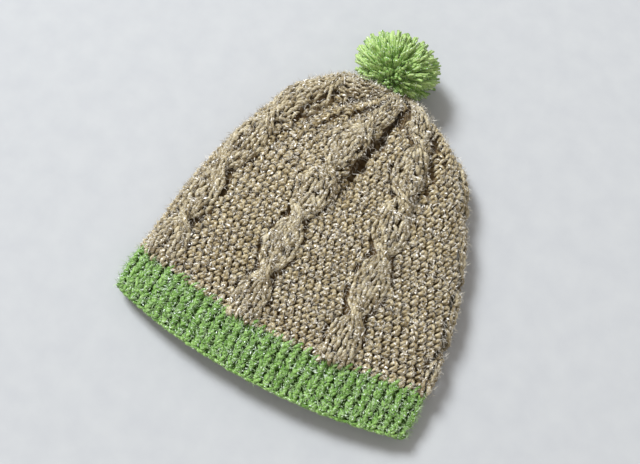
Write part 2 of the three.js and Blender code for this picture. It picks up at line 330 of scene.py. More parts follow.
def tube_arrays(paths, radii, reference, flat):
    """Closed tubes along many paths. paths (n, k, 3), radii (n, k), reference (n, k, 3).

    flat is a tube's height towards reference as a share of its width. Returns vertices, quad
    faces, end faces, the quad corners' UVs in mm and turns, and the end corners' UVs.
    """
    n, k, _ = paths.shape
    tangents = unit_rows(np.gradient(paths, axis=1))
    across = unit_rows(np.cross(tangents, reference))
    upward = np.cross(across, tangents)
    angles = np.arange(TUBE_SIDES) / TUBE_SIDES * TURN
    steps = np.linalg.norm(np.diff(paths, axis=1), axis=-1)
    along = np.concatenate([np.zeros((n, 1)), np.cumsum(steps, axis=1)], axis=1)
    reach = radii[:, :, None]
    ring = (across[:, :, None, :] * (np.cos(angles)[None, None, :] * reach)[..., None]
            + upward[:, :, None, :] * (np.sin(angles)[None, None, :] * reach * flat)[..., None])
    vertices = (paths[:, :, None, :] + ring).reshape(-1, 3)
    vertices[:, 2] = np.maximum(vertices[:, 2], SKIN_GAP)
    index = np.arange(n * k * TUBE_SIDES).reshape(n, k, TUBE_SIDES)
    after = np.roll(index, -1, axis=2)
    quads = np.stack([index[:, :-1], index[:, 1:], after[:, 1:], after[:, :-1]], -1).reshape(-1, 4)
    ends = np.concatenate([index[:, 0, :], index[:, -1, ::-1]])
    turn = np.broadcast_to(np.arange(TUBE_SIDES) / TUBE_SIDES, (n, k - 1, TUBE_SIDES))
    next_turn = turn + 1 / TUBE_SIDES
    low = np.broadcast_to(along[:, :-1, None] / MM, turn.shape)
    high = np.broadcast_to(along[:, 1:, None] / MM, turn.shape)
    uv_quads = np.stack([
        np.stack([low, turn], -1), np.stack([high, turn], -1),
        np.stack([high, next_turn], -1), np.stack([low, next_turn], -1)], axis=3).reshape(-1, 2)
    uv_ends = np.zeros((ends.size, 2))
    return vertices, quads, ends, uv_quads, uv_ends


def make_tubes(name, groups):
    """One object from several (paths, radii, reference, tint, flat) groups.

    tint has one value a tube, or one for each point of each tube.
    """
    vertices, face_sets, uvs, tints, count = [], [], [], [], 0
    for paths, radii, reference, tint, flat in groups:
        v, quads, ends, uv_quads, uv_ends = tube_arrays(paths, radii, reference, flat)
        vertices.append(v)
        face_sets += [quads + count, ends + count]
        uvs += [uv_quads, uv_ends]
        if tint.ndim == 1:
            tint = tint[:, None]
        tints.append(np.repeat(np.broadcast_to(tint, radii.shape).ravel(), TUBE_SIDES))
        count += len(v)
    vertices, uvs, tints = np.concatenate(vertices), np.concatenate(uvs), np.concatenate(tints)
    return make_object(name, vertices, face_sets, uvs, tints)


def make_shell(name, rows, uv_size):
    """A closed skin from rows of points, each row a ring, with the last row joined to the first.

    uv_size is what the UVs give to a turn and to all the rows together, in mm.
    """
    rows = np.asarray(rows)
    count, columns, _ = rows.shape
    below = np.arange(count * columns).reshape(count, columns)
    above = np.roll(below, -1, axis=0)
    quads = np.stack([below, np.roll(below, -1, axis=1), np.roll(above, -1, axis=1), above], -1)
    u = np.arange(columns) / columns * uv_size[0]
    v = np.arange(count) / count * uv_size[1]
    du, dv = uv_size[0] / columns, uv_size[1] / count
    uu, vv = np.meshgrid(u, v)
    uvs = np.stack([np.stack([uu, vv], -1), np.stack([uu + du, vv], -1),
                    np.stack([uu + du, vv + dv], -1), np.stack([uu, vv + dv], -1)], axis=2)
    return make_object(name, rows.reshape(-1, 3), [quads.reshape(-1, 4)], uvs.reshape(-1, 2))


def weld(piece):
    """Join points that coincide, so that no face is left without area."""
    shape = bmesh.new()
    shape.from_mesh(piece.data)
    bmesh.ops.remove_doubles(shape, verts=shape.verts, dist=0.001 * MM)
    wires = [edge for edge in shape.edges if edge.is_wire]
    bmesh.ops.delete(shape, geom=wires, context="EDGES")
    shape.to_mesh(piece.data)
    shape.free()
    return piece


# Materials

def linear(rgb):
    """Display colour 0 to 255 as linear light."""
    c = np.asarray(rgb, float) / 255
    return tuple(np.where(c <= 0.04045, c / 12.92, ((c + 0.055) / 1.055) ** 2.4))


class Surface:
    """A node material under way. specular is the shader's Specular IOR Level."""

    def __init__(self, name, roughness, specular=0.3, sheen=0.0, sheen_tint=(1, 1, 1)):
        self.material = bpy.data.materials.new(name)
        self.material.use_nodes = True
        self.nodes = self.material.node_tree.nodes
        self.link = self.material.node_tree.links.new
        self.shader = self.nodes["Principled BSDF"].inputs
        self.shader["Roughness"].default_value = roughness
        self.shader["Specular IOR Level"].default_value = specular
        self.shader["Sheen Weight"].default_value = sheen
        self.shader["Sheen Roughness"].default_value = 0.5
        self.shader["Sheen Tint"].default_value = (*sheen_tint, 1)

    def add(self, kind, vector=None, **values):
        """A new node with a vector linked in and some inputs set. In names _ stands for a space."""
        node = self.nodes.new(kind)
        if vector is not None:
            self.link(vector, node.inputs["Vector"])
        for name, value in values.items():
            node.inputs[name.replace("_", " ")].default_value = value
        return node

    def noise(self, vector, scale, detail, roughness=0.5):
        node = self.add("ShaderNodeTexNoise", vector, Scale=scale, Detail=detail, Roughness=roughness)
        return node.outputs["Fac"]

    def math(self, operation, *values):
        node = self.nodes.new("ShaderNodeMath")
        node.operation = operation
        for i, value in enumerate(values):
            if isinstance(value, (int, float)):
                node.inputs[i].default_value = value
            else:
                self.link(value, node.inputs[i])
        return node.outputs[0]

    def ramp(self, source, stops):
        node = self.nodes.new("ShaderNodeValToRGB")
        elements = node.color_ramp.elements
        while len(elements) < len(stops):
            elements.new(0.5)
        for element, (place, rgb) in zip(elements, stops):
            element.position = place
            element.color = (*linear(rgb), 1)
        self.link(source, node.inputs["Fac"])
        return node.outputs["Color"]

    def uv(self):
        node = self.nodes.new("ShaderNodeUVMap")
        node.uv_map = "yarn"
        return node.outputs["UV"]

    def place(self):
        """Place in the row frame, in metres."""
        return self.nodes.new("ShaderNodeTexCoord").outputs["Object"]

    def tint(self):
        node = self.nodes.new("ShaderNodeAttribute")
        node.attribute_name = "tint"
        return node.outputs["Fac"]

    def paint(self, colour):
        self.link(colour, self.shader["Base Color"])

    def bump(self, height, strength, distance):
        node = self.add("ShaderNodeBump", Strength=strength, Distance=distance)
        self.link(height, node.inputs["Height"])
        self.link(node.outputs["Normal"], self.shader["Normal"])


PLIES = 2.0
YARN_ROUGHNESS = 0.46
FLECK_ROUGHNESS = 0.3
YARN_SHEEN = 0.2
YARN_SHEEN_TINT = (1, 0.97, 0.9)


def yarn_material(name, dark, middle, light, fleck_glint, pitch=3.4, tint_share=0.55):
    """Spun yarn: plies that wind round the strand, fibres along them, uneven dye, and bright flecks of
    sparkle thread whose white colour is a painted glint.

    pitch is the length of strand from one ply to the next, in mm.
    """
    surface = Surface(name, YARN_ROUGHNESS, 0.65, YARN_SHEEN, YARN_SHEEN_TINT)
    combine = surface.math
    split = surface.add("ShaderNodeSeparateXYZ", surface.uv())
    along, around = split.outputs["X"], split.outputs["Y"]
    tint = surface.tint()
    place = surface.place()

    turn = combine("ADD", combine("MULTIPLY", around, PLIES), combine("DIVIDE", along, pitch))
    ply = combine("ABSOLUTE", combine("SINE", combine("MULTIPLY", turn, math.pi)))
    groove = combine("POWER", ply, 0.5)
    # Fibres are stretched along the plies, and every strand has its own
    stretched = surface.nodes.new("ShaderNodeCombineXYZ")
    surface.link(combine("MULTIPLY", along, 0.45), stretched.inputs["X"])
    surface.link(combine("MULTIPLY", turn, 4.0), stretched.inputs["Y"])
    surface.link(combine("MULTIPLY", tint, 60.0), stretched.inputs["Z"])
    fibres = surface.noise(stretched.outputs[0], 2.2, 3.0, 0.65)
    patches = surface.noise(place, 130.0, 2.0)

    mixed = combine("ADD", combine("MULTIPLY", tint, tint_share),
                    combine("ADD", combine("MULTIPLY", fibres, 0.5), combine("MULTIPLY", patches, 0.25)))
    # The colour is darkened in the grooves between the plies: painted shade
    shaded = combine("MULTIPLY", mixed, combine("ADD", combine("MULTIPLY", groove, 0.5), 0.57))
    colour = surface.ramp(shaded, [(0.16, dark), (0.48, middle), (0.88, light)])
    # Flecks of bright thread spun in with the wool, coloured white as painted glints
    fleck_glints = surface.noise(place, 900.0, 1.0)
    shine = surface.add("ShaderNodeMapRange", From_Min=0.655, From_Max=0.69)
    surface.link(fleck_glints, shine.inputs["Value"])
    mix = surface.nodes.new("ShaderNodeMix")
    mix.data_type = "RGBA"
    surface.link(shine.outputs["Result"], mix.inputs["Factor"])
    surface.link(colour, mix.inputs["A"])
    mix.inputs["B"].default_value = (*linear(fleck_glint), 1)
    surface.paint(mix.outputs["Result"])
    gloss = surface.add("ShaderNodeMapRange", To_Min=YARN_ROUGHNESS, To_Max=FLECK_ROUGHNESS)
    surface.link(shine.outputs["Result"], gloss.inputs["Value"])
    surface.link(gloss.outputs["Result"], surface.shader["Roughness"])
    height = combine("ADD", combine("MULTIPLY", groove, 0.6), combine("MULTIPLY", fibres, 0.8))
    surface.bump(height, 0.8, 0.5 * MM)
    return surface.material


def backing_material(name, dark, middle, light, cell):
    """The inner loops of the fabric: rows of small bumps, with gaps painted dark as shade. cell is a stitch
    in mm.
    """
    surface = Surface(name, 0.95, sheen=YARN_SHEEN, sheen_tint=YARN_SHEEN_TINT)
    cells = surface.add("ShaderNodeMapping", surface.uv(), Scale=(1 / cell[0], 1 / cell[1], 1)).outputs[0]
    loops = surface.add("ShaderNodeTexVoronoi", cells, Scale=1.0, Randomness=0.45)
    fibres = surface.noise(cells, 3.0, 5.0)
    high = surface.math("SUBTRACT", 1.0, loops.outputs["Distance"])
    mixed = surface.math("MULTIPLY", high, surface.math("ADD", fibres, 0.45))
    surface.paint(surface.ramp(mixed, [(0.15, dark), (0.5, middle), (0.95, light)]))
    surface.bump(mixed, 1.0, 1.2 * MM)
    return surface.material


def fuzz_material(name, dark, light):
    surface = Surface(name, 0.7, sheen=0.5)
    surface.paint(surface.ramp(surface.tint(), [(0.0, dark), (1.0, light)]))
    return surface.material


def glint_material(name, rgb):
    """Bright flat thread, coloured near white as a painted highlight: each sliver has its own brightness."""
    surface = Surface(name, FLECK_ROUGHNESS, specular=0.8)
    soft = tuple(int(v * 0.9) for v in rgb)
    surface.paint(surface.ramp(surface.tint(), [(0.0, soft), (1.0, rgb)]))
    return surface.material


TAN = yarn_material("tan_yarn", (78, 56, 22), (153, 134, 90), (220, 206, 168), (252, 250, 244))
# The cables' yarn is a darker copy of the tan yarn: painted shade
TAN_CABLE_PAINTED_SHADE = yarn_material("tan_cable_painted_shade_yarn", (70, 51, 23), (143, 126, 88), (214, 202, 168), (252, 250, 244))
# The backings are darker than their yarn: painted shade in the gaps between the stitches
TAN_PAINTED_SHADE_BACKING = backing_material("tan_painted_shade_backing", (54, 37, 17), (104, 83, 51), (152, 133, 97), (6.1, 3.7))
GREEN = yarn_material("green_yarn", (42, 80, 8), (97, 148, 40), (168, 210, 118), (240, 250, 236), pitch=3.0)
GREEN_PAINTED_SHADE_BACKING = backing_material("green_painted_shade_backing", (32, 58, 10), (70, 110, 30), (112, 152, 62), (3.3, 3.7))
# The pompom's strands are cut and lie nearly untwisted
POMPOM = yarn_material("pompom_yarn", (40, 76, 6), (102, 150, 38), (186, 216, 130), (238, 250, 236),
                       pitch=9.0, tint_share=0.85)
# The pompom's middle ball is coloured dark: painted shade inside the ball
POMPOM_PAINTED_SHADE_CORE = backing_material("pompom_painted_shade_core", (22, 40, 8), (50, 78, 22), (86, 118, 48), (4, 4))
TAN_FUZZ = fuzz_material("tan_fuzz", (146, 138, 120), (244, 240, 230))
GREEN_FUZZ = fuzz_material("green_fuzz", (104, 152, 56), (206, 232, 180))
POMPOM_FUZZ = fuzz_material("pompom_fuzz", (104, 150, 48), (206, 232, 166))
TAN_GLINT = glint_material("tan_glint", (255, 251, 241))
GREEN_GLINT = glint_material("green_glint", (234, 252, 232))


# The crown's ground stitches

# Length of a sixth of the cap's perimeter where the cables have their full width
FULL_SECTOR = 48 * MM
GROUND_JITTER = 0.028
# Painted shade in the folds: how much the yarn's colour is darkened towards a fold's shut part, for ground
# stitches and cables
GROUND_FOLD_PAINTED_SHADE = 0.5
CABLE_FOLD_PAINTED_SHADE = 0.45

# Strokes of one ground stitch: across in stitch widths and up in rounds from its foot, out in mm,
# and thickness share. Two lie low in the stitch, two make the loop above them.
GROUND_STROKES = [np.array(points) for points in (
    [(-0.38, 0.0, -1.7, 0.5), (-0.26, 0.14, 0.2, 0.95), (-0.08, 0.28, 1.0, 1.1), (0.08, 0.42, 0.5, 0.95),
     (0.17, 0.52, -1.2, 0.5)],
    [(-0.04, -0.08, -1.6, 0.5), (0.07, 0.07, 0.1, 0.95), (0.2, 0.21, 0.6, 1.05), (0.33, 0.35, 0.0, 0.85),
     (0.41, 0.44, -1.6, 0.5)],
    [(-0.44, 0.46, -1.7, 0.5), (-0.33, 0.6, 0.1, 0.95), (-0.2, 0.76, 0.7, 1.05), (-0.06, 0.88, 0.1, 0.9),
     (0.04, 0.96, -1.6, 0.5)],
    [(0.38, 0.44, -1.6, 0.5), (0.26, 0.56, 0.3, 0.95), (0.11, 0.69, 1.1, 1.1), (0.03, 0.84, 0.5, 0.95),
     (0.05, 0.97, -1.5, 0.5)])]


def lens_share(rounds):
    """Width of a cable as a share of its full width."""
    phase = (rounds - FIRST_CROSSING) / CROSSING_STEP
    return CABLE_WAIST + (1 - CABLE_WAIST) * np.abs(np.sin(phase * math.pi))


def cable_shrink(length):
    """How much narrower a cable is where the cap's perimeter no longer holds it at full width."""
    return np.clip(length / CABLE_COUNT / FULL_SECTOR, 0.1, 1)


def ground_places():
    """Foot of each ground stitch: around, round, width as a share of a turn."""
    arounds, rounds, widths = [], [], []
    for row in range(ROUND_COUNT):
        middle = row + 0.5
        up = rounds_to_up(middle)
        length = perimeter(up)
        per_sector = max(1, int(round(length / CABLE_COUNT / STITCH_WIDTH)))
        per_sector = min(per_sector, STITCH_COLUMNS // CABLE_COUNT)
        width = SECTOR / per_sector
        shift = 0.5 * (row % 2)
        around = FIRST_CABLE + (np.arange(per_sector * CABLE_COUNT) + shift) * width
        half = CABLE_WIDTH / 2 * lens_share(middle) * cable_shrink(length) / length
        deepest = np.max([pressed_in(around + side * width, up) for side in (-0.3, 0, 0.3)], axis=0)
        keep = (cable_gap(around) > half) & (deepest < SHUT_DEPTH)
        arounds.append(around[keep])
        rounds.append(np.full(keep.sum(), float(row)))
        widths.append(np.full(keep.sum(), width))
    return np.concatenate(arounds), np.concatenate(rounds), np.concatenate(widths)


def stitch_frames(fabric, around, up, width, rise):
    """Middle and normal of each stitch, and the steps of one stitch across and one row up.

    Where the rows lie aslant to the columns the upward step is squared up half way, so that the
    stitches stay plump.
    """
    middle = np.clip(up + rise / 2, 0, TOP_END)
    point, normal = fabric.frame(around, middle)
    side = fabric.base(around + width / 2, middle) - fabric.base(around - width / 2, middle)
    climb = fabric.base(around, middle + rise / 2) - fabric.base(around, middle - rise / 2)
    aslant = np.sum(climb * side, -1, keepdims=True) / np.sum(side * side, -1, keepdims=True)
    return point, normal, side, climb - side * aslant / 2


def stroke_group(frames, stroke, radius, jitter, full=(STITCH_WIDTH, STITCH_HEIGHT), flat=YARN_FLATNESS):
    """Many copies of one stroke, as a group for make_tubes.

    full is the size of a stitch whose yarn has its full thickness, and jitter how far a stroke
    strays, in stitches.
    """
    point, normal, side, climb = frames
    n, k = len(point), len(stroke)
    across = stroke[None, :, 0] + rng.normal(0, jitter, (n, k)) * 0.5 + rng.normal(0, jitter, (n, 1))
    rising = stroke[None, :, 1] + rng.normal(0, jitter, (n, k)) * 0.4 + rng.normal(0, jitter, (n, 1)) - 0.5
    out = stroke[None, :, 2] * MM + rng.normal(0, jitter * 4 * MM, (n, 1))
    size = np.sqrt(np.linalg.norm(side, axis=-1) / full[0] * np.linalg.norm(climb, axis=-1) / full[1])
    size = np.clip(size, 0.4, 1.0)[:, None]
    paths = (point[:, None] + side[:, None] * across[..., None] + climb[:, None] * rising[..., None]
             + normal[:, None] * (out * size)[..., None])
    paths[..., 2] = np.maximum(paths[..., 2], FLOOR_GAP)
    normals = np.broadcast_to(normal[:, None], paths.shape)
    thickness = radius * stroke[None, :, 3] * rng.normal(1, 0.1, (n, 1)) * size
    tint = np.clip(rng.normal(0.5, 0.19, n), 0, 1)
    return paths, thickness, normals, tint, flat


def make_ground(name, frames, shade):
    """Ground stitches. shade is painted shade: it darkens the colour of a stitch that lies deep in a fold."""
    groups = []
    for stroke in GROUND_STROKES:
        paths, thickness, normals, tint, flat = stroke_group(frames, stroke, YARN, GROUND_JITTER)
        groups.append((paths, thickness, normals, np.clip(tint - shade, 0, 1), flat))
    return make_tubes(name, groups)


# The crown's cables

CROSSINGS = 4
# Rounds on either side of a crossing in which its strands change places
CROSSING_WINDOW = 1.25
# Height of the strands that pass over and under at a crossing, in mm
OVER, UNDER = 1.6, -1.9
# Strokes of a strand: step and length in rounds, and the share of a step from strand to strand
POST_STEP = 0.58
POST_LENGTH = 0.95
POST_STAGGER = 0.37
POST_RADIUS = 1.38 * MM
POST_POINTS = 5
POST_HOOK = 1.1 * MM
POST_RISE = 1.1 * MM
POST_ARCH = 2.4 * MM
# Places of the strands, where a cable reaches from -2 to 2, and half the width of its dome
POST_SLOTS = (-1.78, -1.32, -0.86, -0.3, 0.3, 0.86, 1.32, 1.78)
DOME_SLOTS = 2.05


def strand_place(slot, rounds):
    """Across and out in metres, and the place in slots, of one cable strand that starts in a slot."""
    place = np.full(rounds.shape, float(slot))
    lift = np.zeros(rounds.shape)
    for k in range(CROSSINGS):
        crossing = FIRST_CROSSING + CROSSING_STEP * k
        t = np.clip((rounds - crossing + CROSSING_WINDOW) / (2 * CROSSING_WINDOW), 0, 1)
        from_right = slot > 0
        target = slot - 2 if from_right else slot + 2
        place = place + (target - slot) * t * t * (3 - 2 * t)
        lift = lift + np.sin(t * math.pi) ** 1.2 * (OVER if from_right else UNDER)
        slot = target
    return place * CABLE_WIDTH / 4 * lens_share(rounds), lift * MM, place


def make_cables(name):
    """Front-post strands that cross two over two, each a row of short overlapping strokes.

    Returns the piece, and its strokes' paths and normals.
    """
    s = np.linspace(0, 1, POST_POINTS)
    starts = np.arange(-0.4, ROUND_COUNT - 0.6, POST_STEP)
    count = len(starts)
    hook = POST_HOOK * np.exp(-((s - 0.05) / 0.2) ** 2)
    arch = np.sin(np.pi * np.clip(s, 0.02, 0.98)) ** 0.7 - 0.8
    swell = POST_RADIUS * (0.4 + 0.7 * np.sin(np.pi * np.clip(0.05 + 0.9 * s, 0, 1)) ** 0.8)
    paths, radii, normals, tints = [], [], [], []
    for cable in range(CABLE_COUNT):
        for number, slot in enumerate(POST_SLOTS):
            begin = starts + rng.normal(0, 0.12, count) + POST_STEP * (number * POST_STAGGER % 1)
            reach = POST_LENGTH * rng.uniform(0.75, 1.25, (count, 1))
            rounds = np.clip(begin[:, None] + reach * s[None, :], -0.3, ROUND_COUNT - 0.05)
            across, lift, place = strand_place(slot, rounds)
            sway = rng.normal(0, 0.5 * MM, (count, 1)) + rng.normal(0, 1.7 * MM, (count, 1)) * (s - 0.5)
            across = across + hook[None, :] + sway
            up = rounds_to_up(rounds)
            length = perimeter(np.clip(up, 0, 1))
            shrink = cable_shrink(length)
            dome = CABLE_RISE * np.sqrt(np.clip(1 - (place / DOME_SLOTS) ** 2, 0, 1))
            out = dome - POST_RADIUS + POST_RISE + lift + rng.normal(0, 0.4 * MM, (count, 1))
            out = out * np.sqrt(shrink) + arch[None, :] * POST_ARCH
            around = FIRST_CABLE + cable / CABLE_COUNT + across * shrink / length
            path, normal = CROWN.at(around, np.clip(up, 0, TOP_END), out)
            size = swell[None, :] * np.sqrt(shrink) * rng.normal(1, 0.12, (count, 1))
            # Strands are thinner where the cable is narrow
            wide = np.clip((lens_share(rounds) - CABLE_WAIST) / (1 - CABLE_WAIST) * 1.6, 0, 1)
            # Strokes where the fold is shut are left out, and those deep in a fold get painted shade, a
            # darker colour
            deep = pressed_in(around.mean(1), np.clip(up.mean(1), 0, 1)) / SHUT_DEPTH
            keep = deep < 1
            paths.append(path[keep])
            normals.append(normal[keep])
            radii.append((size * (0.75 + 0.25 * wide))[keep])
            tints.append(np.clip(rng.normal(0.5, 0.24, count) - CABLE_FOLD_PAINTED_SHADE * deep, 0, 1)[keep])
    paths, normals = np.concatenate(paths), np.concatenate(normals)
    group = (paths, np.concatenate(radii), normals, np.concatenate(tints), YARN_FLATNESS)
    return make_tubes(name, [group]), paths, normals


# The crown's backing

BACKING_DEPTH = 2.3 * MM
BACKING_TOP = 0.995
INNER_ROUND_RELIEF = 0.45 * MM
INNER_COLUMN_RELIEF = 0.25 * MM


def crown_backing(name):
    """The inner face of the fabric and the ground under the stitches, coloured dark as painted shade, as one
    closed wall.
    """
    columns, outer_rows, inner_rows = 192, 64, 96
    around = FIRST_CABLE + np.arange(columns) / columns
    rows = []
    for up in np.linspace(BRIM_SHARE, BACKING_TOP, outer_rows):
        point, _ = CROWN.at(around, np.full(columns, up), -BACKING_DEPTH)
        rows.append(point)
    for up in np.linspace(HOLLOW_TOP, BRIM_SHARE, inner_rows):
        depth = pressed_in(around, np.full(columns, up)) + WALL
        wave = INNER_ROUND_RELIEF * np.cos(up * 2 * ROUND_COUNT / (1 - BRIM_SHARE) * TURN)
        stitch = INNER_COLUMN_RELIEF * np.cos(around * STITCH_COLUMNS * TURN)
        point = part_point(around, np.full(columns, up), depth + wave + stitch, CROWDING, WALL)
        rows.append(point + PLACE)
    rows = np.array(rows)
    tip = rows[outer_rows - 1].mean(0)
    inner_tip = rows[outer_rows].mean(0)
    closed = np.concatenate([rows[:outer_rows], np.tile(tip, (1, columns, 1)),
                             np.tile(inner_tip, (1, columns, 1)), rows[outer_rows:]])
    return weld(make_shell(name, closed, (440.0, 400.0)))


# The brim

BRIM_LEVELS = 8
BRIM_YARN = 1.06 * MM
# Size of a brim stitch and of an edge link whose yarn has its full thickness
BRIM_STITCH = (6.6 * MM, 3.75 * MM)
EDGE_STITCH = (4.6 * MM, 3.75 * MM)
EDGE_LINKS = 96
EDGE_AHEAD = 0.9 * MM

# Strands of one brim stitch, in ribs across and levels up: a V of two leaves, two plies each
BRIM_STROKES = [np.array(points) for points in (
    [(-0.02, -0.35, -1.0, 0.5), (-0.08, -0.05, 0.5, 0.95), (-0.17, 0.3, 0.9, 1.15), (-0.28, 0.62, 0.3, 0.95),
     (-0.34, 0.9, -1.5, 0.5)],
    [(0.06, 0.0, -0.8, 0.5), (0.0, 0.3, 0.6, 0.95), (-0.08, 0.6, 1.1, 1.1), (-0.18, 0.9, 0.5, 0.95),
     (-0.25, 1.15, -1.3, 0.5)],
    [(-0.04, -0.2, -0.9, 0.5), (0.04, 0.1, 0.6, 0.95), (0.15, 0.42, 1.1, 1.15), (0.26, 0.72, 0.4, 0.95),
     (0.33, 1.0, -1.5, 0.5)],
    [(-0.06, 0.25, -0.8, 0.5), (0.0, 0.5, 0.7, 0.95), (0.08, 0.82, 1.2, 1.1), (0.19, 1.12, 0.5, 0.95),
     (0.27, 1.4, -1.4, 0.5)])]

# Horns of the last row, that reach over the tan, in ribs across and levels up
HORN = np.array([
    (-0.25, -0.4, 0.2, 0.8), (-0.05, 0.1, 1.2, 1.1), (0.15, 0.6, 1.5, 1.1), (0.3, 1.0, 1.0, 0.9),
    (0.36, 1.3, 0.0, 0.5)])

# A link of the chain along the edge, in links across and levels up
EDGE_LINK = np.array([
    (-0.35, 0.3, -1.8, 0.5), (-0.15, 0.05, -0.7, 0.95), (0.25, -0.02, 0.1, 1.1), (0.65, 0.1, 0.15, 1.05),
    (0.95, 0.3, -0.7, 0.85), (1.15, 0.45, -1.8, 0.5)])


def brim_frames(around, level, count):
    """Frames of brim strokes whose feet lie on a level, count of them to a turn."""
    up = level * BRIM_SHARE / BRIM_LEVELS
    width = np.full(around.shape, 1 / count)
    rise = np.full(around.shape, BRIM_SHARE / BRIM_LEVELS)
    return stitch_frames(BRIM, around, up, width, rise)


def make_brim_ribs(name):
    ribs, levels = np.meshgrid(np.arange(RIB_COUNT), np.arange(BRIM_LEVELS))
    frames = brim_frames(ribs.ravel() / RIB_COUNT, levels.ravel().astype(float), RIB_COUNT)
    groups = [stroke_group(frames, stroke, BRIM_YARN, 0.09, BRIM_STITCH) for stroke in BRIM_STROKES]
    top = np.full(RIB_COUNT, float(BRIM_LEVELS))
    frames = brim_frames(np.arange(RIB_COUNT) / RIB_COUNT, top, RIB_COUNT)
    groups.append(stroke_group(frames, HORN, BRIM_YARN, 0.1, BRIM_STITCH))
    return make_tubes(name, groups)


def make_brim_edge(name):
    """The chain along the brim's edge: links that lie one over the next, and a row under them."""
    around = np.arange(EDGE_LINKS) / EDGE_LINKS
    lower = EDGE_LINK * (1, 0.6, 1, 1) - (0, 0, 2.0, 0)
    groups = []
    for link, shift in ((EDGE_LINK, 0.0), (lower, 0.5)):
        frames = brim_frames(around + shift / EDGE_LINKS, np.zeros(EDGE_LINKS), EDGE_LINKS)
        paths, *rest = stroke_group(frames, link, BRIM_YARN, 0.06, EDGE_STITCH, 1.0)
        # The edge row turns over the brim's edge, so it stands a little ahead of it
        groups.append((paths - (0, EDGE_AHEAD, 0), *rest))
    return make_tubes(name, groups)


def brim_backing(name):
    """The ribbed wall under the brim's stitches, with rows of loops on its inner face."""
    columns, outer_rows, inner_rows = RIB_COUNT * 6, 13, 33
    around = np.arange(columns) / columns
    ridge = np.cos(around * RIB_COUNT * TURN)
    rows = []
    for up in np.linspace(0.0, BRIM_SHARE, outer_rows):
        point, _ = BRIM.at(around, np.full(columns, up), (ridge - 2.2) * MM)
        rows.append(point)
    for up in np.linspace(BRIM_SHARE, 0.0, inner_rows):
        wave = 0.35 * MM * np.cos(up / BRIM_SHARE * BRIM_LEVELS * TURN)
        depth = WALL + 0.6 * MM * ridge + wave
        rows.append(part_point(around, np.full(columns, up), depth, 0, WALL) + PLACE)
    return make_shell(name, rows, (440.0, 66.0))


# The pompom

STRAND_COUNT = 1500
STRAND_POINTS = 7
STRAND_FLATNESS = 0.8
# Radius along a strand from its tie to its cut end, in mm
STRAND_SWELL = np.array([0.6, 0.82, 1.0, 1.15, 1.24, 1.26, 1.1])
TUFT_COUNT = 110
TUFT_PULL = 0.4
# Where the strands are tied, from the ball's middle
TIE = np.array([-1.5, -19.0, -3.0]) * MM
# Size of the middle ball, coloured dark as painted shade inside the pompom, as a share of the pompom. The
# CAD's middle is larger, in place of strands
PAINTED_SHADE_MIDDLE = 0.5


def even_directions(count):
    """Directions spread evenly over a ball."""
    golden = math.pi * (3 - math.sqrt(5))
    i = np.arange(count)
    height = 1 - (2 * i + 1) / count
    radius = np.sqrt(1 - height ** 2)
    return np.stack([radius * np.cos(golden * i), radius * np.sin(golden * i), height], -1)


def pompom_middle():
    top = read_section(np.array(1.0))
    middle = np.array([top["shift"] + POMPOM_SIDE, top["reach"] + POMPOM_REACH, 0]) + PLACE
    middle[2] = POMPOM_HALF[2]
    return middle


def strand_directions():
    """Directions of the strands, gathered into tufts, without those that would enter the crown."""
    directions = even_directions(STRAND_COUNT)
    directions = unit_rows(directions + rng.normal(0, 0.06, directions.shape))
    tufts = even_directions(TUFT_COUNT)
    nearest = tufts[np.argmax(directions @ tufts.T, axis=1)]
    directions = unit_rows(directions * (1 - TUFT_PULL) + nearest * TUFT_PULL)
    seat = unit_rows(np.array([0, -1, -0.1]))
    clear = directions @ seat < np.where(directions[:, 2] > 0.05, 0.95, 0.78)
    return directions[clear]


def make_strands(name, middle):
    """The pompom's strands. Returns the piece and its strands' paths."""
    tie = middle + TIE
    directions = strand_directions()
    n = len(directions)
    rising = np.clip(directions[:, 2:], 0, 1)
    reach = rng.uniform(0.8, 1.08, (n, 1)) * (1 - 0.16 * rising ** 2)
    ends = middle + directions * POMPOM_HALF * reach
    ends[:, 2] = np.maximum(ends[:, 2], 1.4 * MM)
    start = tie + unit_rows(ends - tie) * 2.5 * MM
    outward = ends - tie
    # Strands that end on top rise through the ball's middle, so that their ends face outward
    lift = np.array([0, 0, 1]) * np.linalg.norm(outward[:, :2], axis=1, keepdims=True) * 0.16
    inside = middle + directions * POMPOM_HALF * 0.35
    share = 0.1 + 0.7 * rising
    bow = (start + (ends - start) * 0.5 + lift) * (1 - share) + inside * share
    bow = bow + rng.normal(0, 1.3 * MM, (n, 3))
    s = np.linspace(0, 1, STRAND_POINTS)[None, :, None]
    paths = start[:, None] * (1 - s) ** 2 + bow[:, None] * 2 * s * (1 - s) + ends[:, None] * s ** 2
    paths = paths + rng.normal(0, 0.28 * MM, paths.shape) * s
    paths[..., 2] = np.maximum(paths[..., 2], 1.1 * MM)
    thickness = STRAND_SWELL[None, :] * rng.uniform(0.65, 1.15, (n, 1)) * MM
    reference = unit_rows(rng.normal(0, 1, (n, 1, 3)) + np.zeros(paths.shape))
    # A strand's colour is darker near the tie, inside the ball, and lighter towards its end: painted shade
    # and painted light
    shade = np.linspace(-0.3, 0.26, STRAND_POINTS)[None, :] + rng.normal(0.38, 0.26, (n, 1))
    # Strands on the crown's side are made darker: painted shade where they lie in each other's shade against
    # the crown
    crown_side_shade_share = np.clip(directions @ unit_rows(np.array([0.5, -0.8, -0.2])), 0, 1)
    shade = np.clip(shade - 0.24 * crown_side_shade_share[:, None], 0, 1)
    return make_tubes(name, [(paths, thickness, reference, shade, STRAND_FLATNESS)]), paths


